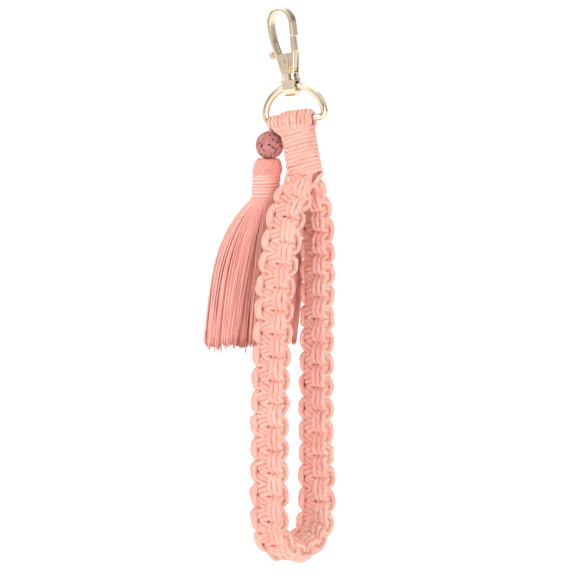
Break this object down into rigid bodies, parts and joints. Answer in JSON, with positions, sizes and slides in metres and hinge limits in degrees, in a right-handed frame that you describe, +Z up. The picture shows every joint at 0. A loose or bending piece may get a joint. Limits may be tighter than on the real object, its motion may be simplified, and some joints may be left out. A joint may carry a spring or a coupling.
{
  "type": "wristlet keychain",
  "caption": "Wristlet keychain: sprung swivel clasp, D-ring, looped square-knot cord strap, and a tassel hanging under a round stone bead.",
  "frame": {"origin": "inside top of the hook, where the clasp hangs", "axes": "+Z up along the hanging strap, +X along the D-ring's bar, away from the tassel, +Y to the back"},
  "size_m": [0.054, 0.0453, 0.2363],
  "materials": {
    "clasp_metal": "polished pale gold plate",
    "pin_metal": "polished warm gold",
    "spring_steel": "drawn wire",
    "ring_metal": "polished pale gold plate",
    "cotton_cord": "soft twisted cotton",
    "core_cord": "soft twisted cotton",
    "tassel_thread": "fine straight cotton thread",
    "lava_stone": "porous matt lava stone"
  },
  "bodies": {
    "clasp": {"clasp_body": "clasp_metal", "gate_pin": "pin_metal", "gate_spring": "spring_steel"},
    "gate": {"gate_lever": "clasp_metal"},
    "swivel": {"swivel_eye": "clasp_metal", "swivel_post": "pin_metal"},
    "ring": {"d_ring": "ring_metal"},
    "strap": {"hitch_cords": "cotton_cord", "neck_core": "core_cord", "neck_wrap": "cotton_cord", "strap_core": "core_cord", "square_knot_01": "cotton_cord", "square_knot_02": "cotton_cord", "square_knot_03": "cotton_cord", "square_knot_04": "cotton_cord", "square_knot_05": "cotton_cord", "square_knot_06": "cotton_cord", "square_knot_07": "cotton_cord", "square_knot_08": "cotton_cord", "square_knot_09": "cotton_cord", "square_knot_10": "cotton_cord", "square_knot_11": "cotton_cord", "square_knot_12": "cotton_cord", "square_knot_13": "cotton_cord", "square_knot_14": "cotton_cord", "square_knot_15": "cotton_cord", "square_knot_16": "cotton_cord", "square_knot_17": "cotton_cord", "square_knot_18": "cotton_cord", "square_knot_19": "cotton_cord", "square_knot_20": "cotton_cord", "square_knot_21": "cotton_cord", "square_knot_22": "cotton_cord", "square_knot_23": "cotton_cord", "square_knot_24": "cotton_cord", "square_knot_25": "cotton_cord", "square_knot_26": "cotton_cord", "square_knot_27": "cotton_cord", "square_knot_28": "cotton_cord", "square_knot_29": "cotton_cord", "square_knot_30": "cotton_cord", "square_knot_31": "cotton_cord", "square_knot_32": "cotton_cord", "square_knot_33": "cotton_cord", "square_knot_34": "cotton_cord"},
    "tassel": {"tassel_cord": "tassel_thread", "tassel_head": "tassel_thread", "tassel_wrap": "tassel_thread", "tassel_skirt": "tassel_thread"},
    "bead": {"lava_bead": "lava_stone"}
  },
  "joints": [
    {"name": "gate_open", "type": "hinge", "parent": "clasp", "child": "gate", "pos_m": [0.00569, 0, -0.02453], "axis": [0, -1, 0], "range_deg": [0, 17], "stiffness_Nm_per_rad": 0.02, "springref_deg": -20.05, "deforming": ["gate_spring"]},
    {"name": "swivel_turn", "type": "hinge", "parent": "clasp", "child": "swivel", "pos_m": [0.00414, 0, -0.02769], "axis": [-0.1478, 0, 0.989], "continuous": true},
    {"name": "ring_swing", "type": "hinge", "parent": "swivel", "child": "ring", "pos_m": [0.00471, 0, -0.03155], "axis": [0.989, 0, 0.1478], "range_deg": [-90, 90]},
    {"name": "strap_swing", "type": "hinge", "parent": "ring", "child": "strap", "pos_m": [0.00687, 0, -0.04599], "axis": [0.989, 0, 0.1478], "range_deg": [-45, 45]},
    {"name": "tassel_swing", "type": "hinge", "parent": "strap", "child": "tassel", "pos_m": [-0.00465, 0, -0.04771], "axis": [0.989, 0, 0.1478], "range_deg": [-6, 25]},
    {"name": "bead_spin", "type": "hinge", "parent": "tassel", "child": "bead", "pos_m": [-0.00574, 0, -0.0568], "axis": [-0.1191, 0, -0.9929], "continuous": true}
  ]
}
